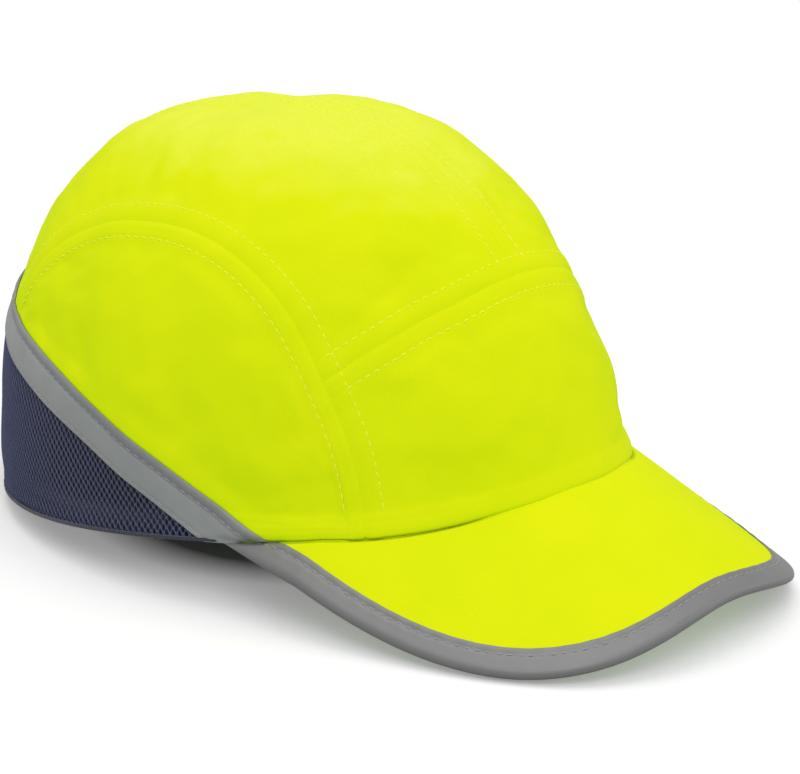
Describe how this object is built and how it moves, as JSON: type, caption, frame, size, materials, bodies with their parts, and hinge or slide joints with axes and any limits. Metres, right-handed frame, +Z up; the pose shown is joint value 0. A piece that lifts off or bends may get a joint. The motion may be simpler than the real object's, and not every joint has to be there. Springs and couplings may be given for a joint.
{
  "type": "bump cap",
  "caption": "Cloth bump cap with a short curved peak, a moulded inner shell with foam pads that lifts out, and a hook-and-loop strap across a rear opening.",
  "frame": {"origin": "centre of the head opening, in the plane of the rim", "axes": "+Z up with the cap resting on the back of its rim and on the sides of its peak; the peak points to -Y and the wearer's left is +X; the rim's plane is tipped 8.1 degrees, front raised"},
  "size_m": [0.174, 0.2696, 0.135],
  "materials": {
    "hi_vis_cloth": "fluorescent yellow woven polyester, slightly sheened",
    "navy_mesh": "navy air mesh with small staggered holes",
    "reflective_tape": "grey retro-reflective tape, satin",
    "seam_tape": "plain woven tape",
    "navy_binding": "folded woven binding",
    "sweatband_cloth": "brushed knit over a thin foam",
    "grey_foam": "open-cell foam",
    "peak_plastic": "matt polyethylene board",
    "navy_webbing": "flat woven webbing",
    "loop_pile": "soft loop pile",
    "hook_tape": "rows of small moulded hooks",
    "ring_plastic": "moulded acetal, satin",
    "shell_plastic": "moulded ABS with a fine grain",
    "pad_foam": "closed-cell foam with a fine cell grain"
  },
  "bodies": {
    "cap": {"front_panel": "hi_vis_cloth", "top_panel_left": "hi_vis_cloth", "top_panel_right": "hi_vis_cloth", "side_panel_left": "hi_vis_cloth", "side_panel_right": "hi_vis_cloth", "mesh_panel_left": "navy_mesh", "mesh_panel_right": "navy_mesh", "reflective_tape_left": "reflective_tape", "reflective_tape_right": "reflective_tape", "centre_seam_tape": "seam_tape", "front_seam_tape": "seam_tape", "side_seam_tape_left": "seam_tape", "side_seam_tape_right": "seam_tape", "arch_binding": "navy_binding", "rim_binding": "navy_binding", "sweatband": "sweatband_cloth", "brow_foam": "grey_foam", "peak_upper_cover": "hi_vis_cloth", "peak_board": "peak_plastic", "peak_lower_cover": "hi_vis_cloth", "peak_edge_tape": "reflective_tape", "strap_base": "navy_webbing", "strap_fold": "navy_webbing", "loop_patch": "loop_pile", "ring_tab": "navy_webbing", "adjuster_ring": "ring_plastic"},
    "liner": {"abs_shell": "shell_plastic", "crown_pad": "pad_foam", "front_pad": "pad_foam", "rear_pad": "pad_foam", "side_pad_left": "pad_foam", "side_pad_right": "pad_foam"},
    "strap_end": {"strap_tail": "navy_webbing", "hook_patch": "hook_tape"}
  },
  "joints": [
    {"name": "shell_lift_out", "type": "slide", "parent": "cap", "child": "liner", "axis": [0, -0.1409, -0.99], "range_m": [0, 0.15], "deforming": ["sweatband", "brow_foam"]},
    {"name": "strap_peel", "type": "hinge", "parent": "cap", "child": "strap_end", "pos_m": [-0.02804, 0.0927, 0.00246], "axis": [0, 0.1409, 0.99], "range_deg": [0, 100], "deforming": ["strap_fold"]}
  ]
}
